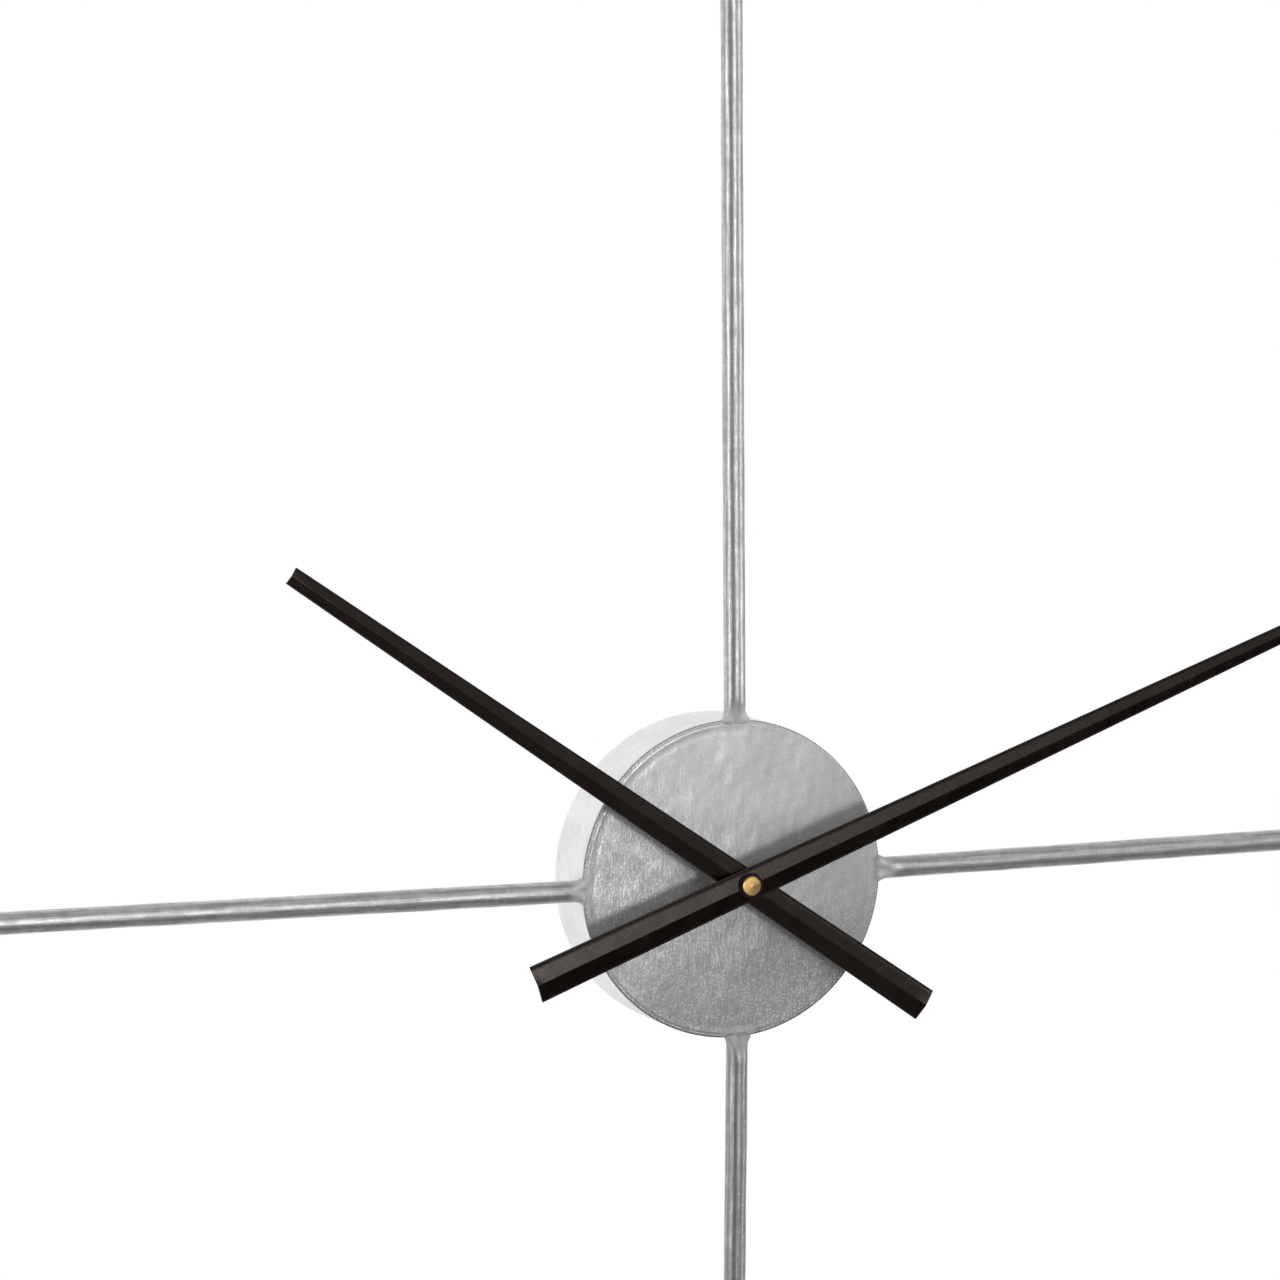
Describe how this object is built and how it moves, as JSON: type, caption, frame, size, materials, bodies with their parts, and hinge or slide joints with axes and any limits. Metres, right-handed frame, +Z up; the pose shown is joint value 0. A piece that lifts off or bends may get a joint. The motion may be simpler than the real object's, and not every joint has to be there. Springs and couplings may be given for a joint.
{
  "type": "wall clock",
  "caption": "Wall clock with a shallow metal drum, four long round rods welded to its rim in a cross, and two long folded dark hands held by a small brass nut.",
  "frame": {"origin": "on the spindle's axis, in the plane of the wall that the bumpers touch", "axes": "-Y is the way the clock faces, +X is to the viewer's right, +Z is up"},
  "size_m": [1, 0.063, 1],
  "materials": {
    "plate_silver": "mottled silver, satin, fine brush marks",
    "wall_silver": "pale silver, satin",
    "rod_silver": "silver, streaked along the rod",
    "hand_brown": "near-black brown satin paint on aluminium sheet",
    "brass": "turned",
    "steel": "zinc plated",
    "rubber": "matte",
    "case_black": "moulded, fine texture",
    "wheel_white": "moulded acetal",
    "copper": "enamelled copper wire",
    "board_green": "solder mask on laminate",
    "battery_grey": "printed steel can, no lettering"
  },
  "bodies": {
    "frame": {"drum_wall": "wall_silver", "front_plate": "plate_silver", "arm_top": "rod_silver", "arm_right": "rod_silver", "arm_bottom": "rod_silver", "arm_left": "rod_silver", "hanger_plate": "steel", "hanger_screw_left": "steel", "hanger_screw_right": "steel", "bumper_1": "rubber", "bumper_2": "rubber", "bumper_3": "rubber", "bumper_4": "rubber", "movement_gasket": "rubber", "plate_washer": "steel", "bush_nut": "brass", "bush": "brass", "case_front": "case_black", "case_rear": "case_black", "train_bridge": "wheel_white", "stator": "steel", "coil_bobbin": "wheel_white", "coil_winding": "copper", "circuit_board": "board_green", "chip": "case_black", "quartz_crystal": "steel", "battery": "battery_grey", "contact_positive": "steel", "contact_negative": "steel"},
    "minute": {"minute_arbor": "steel", "centre_wheel": "wheel_white", "minute_hand": "hand_brown", "minute_hand_collar": "brass", "nut_washer": "hand_brown", "cap_nut": "brass"},
    "hour": {"hour_wheel": "brass", "hour_hand": "hand_brown", "hour_hand_collar": "brass"},
    "motion_work": {"minute_wheel": "wheel_white"},
    "setting": {"setting_knob": "case_black"},
    "third": {"third_wheel": "wheel_white"},
    "seconds": {"seconds_wheel": "wheel_white"},
    "fifth": {"fifth_wheel": "wheel_white"},
    "magnet": {"rotor": "steel"}
  },
  "joints": [
    {"name": "minute_hand_turn", "type": "hinge", "parent": "frame", "child": "minute", "pos_m": [0, -0.03, 0], "axis": [0, 1, 0], "continuous": true},
    {"name": "hour_hand_turn", "type": "hinge", "parent": "frame", "child": "hour", "pos_m": [0, -0.03, 0], "axis": [0, 1, 0], "continuous": true},
    {"name": "minute_wheel_turn", "type": "hinge", "parent": "frame", "child": "motion_work", "pos_m": [0.0096, -0.03, 0], "axis": [0, 1, 0], "continuous": true},
    {"name": "setting_knob_turn", "type": "hinge", "parent": "frame", "child": "setting", "pos_m": [0.0188, -0.03, 0], "axis": [0, 1, 0], "continuous": true},
    {"name": "third_wheel_turn", "type": "hinge", "parent": "frame", "child": "third", "pos_m": [-0.00865, -0.03, 0.00865], "axis": [0, 1, 0], "continuous": true},
    {"name": "seconds_wheel_turn", "type": "hinge", "parent": "frame", "child": "seconds", "pos_m": [0, -0.03, 0], "axis": [0, 1, 0], "continuous": true},
    {"name": "fifth_wheel_turn", "type": "hinge", "parent": "frame", "child": "fifth", "pos_m": [0.0042, -0.03, 0.00727], "axis": [0, 1, 0], "continuous": true},
    {"name": "rotor_turn", "type": "hinge", "parent": "frame", "child": "magnet", "pos_m": [0.00898, -0.03, 0.01129], "axis": [0, 1, 0], "continuous": true}
  ],
  "couplings": [
    {"joint": "hour_hand_turn", "follows": "minute_hand_turn", "ratio": 0.083333},
    {"joint": "minute_wheel_turn", "follows": "minute_hand_turn", "ratio": -0.33333},
    {"joint": "setting_knob_turn", "follows": "minute_hand_turn", "ratio": 1.2},
    {"joint": "third_wheel_turn", "follows": "minute_hand_turn", "ratio": -8},
    {"joint": "seconds_wheel_turn", "follows": "minute_hand_turn", "ratio": 60},
    {"joint": "fifth_wheel_turn", "follows": "minute_hand_turn", "ratio": -360},
    {"joint": "rotor_turn", "follows": "minute_hand_turn", "ratio": 1800}
  ]
}
